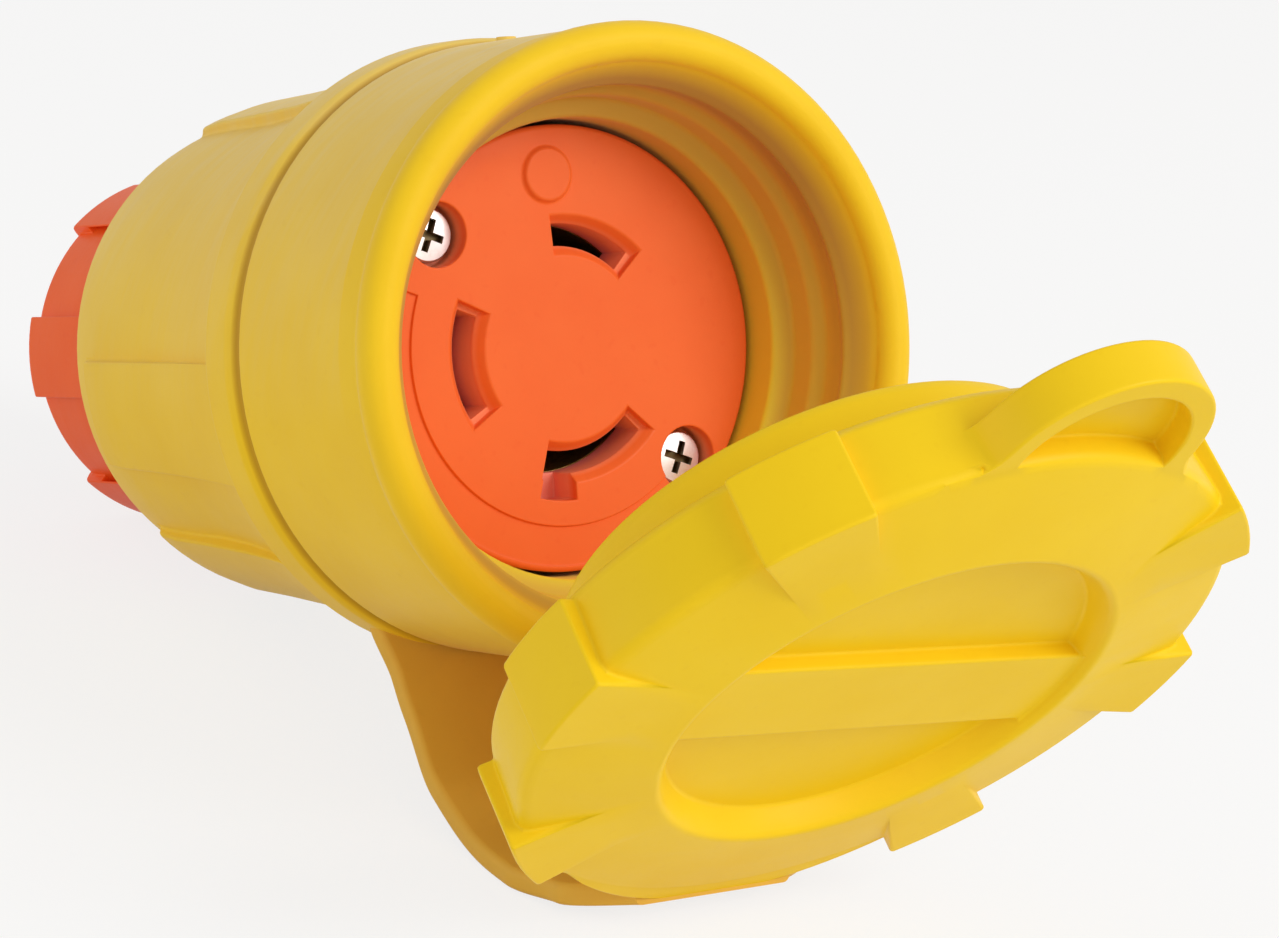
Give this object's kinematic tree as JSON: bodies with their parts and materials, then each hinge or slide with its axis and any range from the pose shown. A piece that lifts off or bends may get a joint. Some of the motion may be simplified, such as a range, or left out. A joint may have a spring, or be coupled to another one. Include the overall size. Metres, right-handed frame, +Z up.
{
  "type": "locking power connector",
  "caption": "Watertight locking cord connector with a yellow rubber body, an orange slotted contact face and gland nut, and a tethered lugged closure cap swung open.",
  "frame": {"origin": "centre of the bounding box's base, on the floor the part lies on", "axes": "+X toward the open mouth and the cap, along the part's length; +Z up"},
  "size_m": [0.1642, 0.0698, 0.0776],
  "materials": {
    "yellow_body": "matte moulded elastomer",
    "yellow_cap": "satin moulded elastomer",
    "orange_face": "satin",
    "orange_nut": "satin",
    "black_insulator": "matte",
    "brass_contact": "satin",
    "plated_steel": "bright plated",
    "black_rubber": "matte",
    "white_plastic": "matte"
  },
  "bodies": {
    "connector": {"housing": "yellow_body", "contact_face": "orange_face", "contact_carrier": "black_insulator", "line_contact": "brass_contact", "neutral_contact": "brass_contact", "ground_contact": "brass_contact", "line_clamp": "plated_steel", "neutral_clamp": "plated_steel", "ground_clamp": "plated_steel", "line_screw": "plated_steel", "neutral_screw": "plated_steel", "ground_screw": "plated_steel", "captive_nut_upper": "plated_steel", "captive_nut_lower": "plated_steel", "assembly_screw_upper": "plated_steel", "assembly_screw_lower": "plated_steel", "gland_bushing": "black_rubber", "strap_ring": "yellow_body", "tether_strap": "yellow_body"},
    "washer": {"thrust_washer": "white_plastic"},
    "nut": {"compression_nut": "orange_nut"},
    "cap": {"closure_cap": "yellow_cap"}
  },
  "joints": [
    {"name": "cap_hinge", "type": "hinge", "parent": "connector", "child": "cap", "pos_m": [0.02093, 0, 0.00839], "axis": [0, 1, 0], "range_deg": [-52.2, 75], "deforming": ["tether_strap"]},
    {"name": "washer_slide", "type": "slide", "parent": "connector", "child": "washer", "axis": [-0.9493, 0, -0.3144], "range_m": [0, 0.006]},
    {"name": "nut_turn", "type": "hinge", "parent": "washer", "child": "nut", "pos_m": [-0.065, 0, 0.02156], "axis": [-0.9493, 0, -0.3144], "range_deg": [0, 720]}
  ],
  "couplings": [
    {"joint": "nut_turn", "follows": "washer_slide", "rad_per_m": 2094.4}
  ]
}
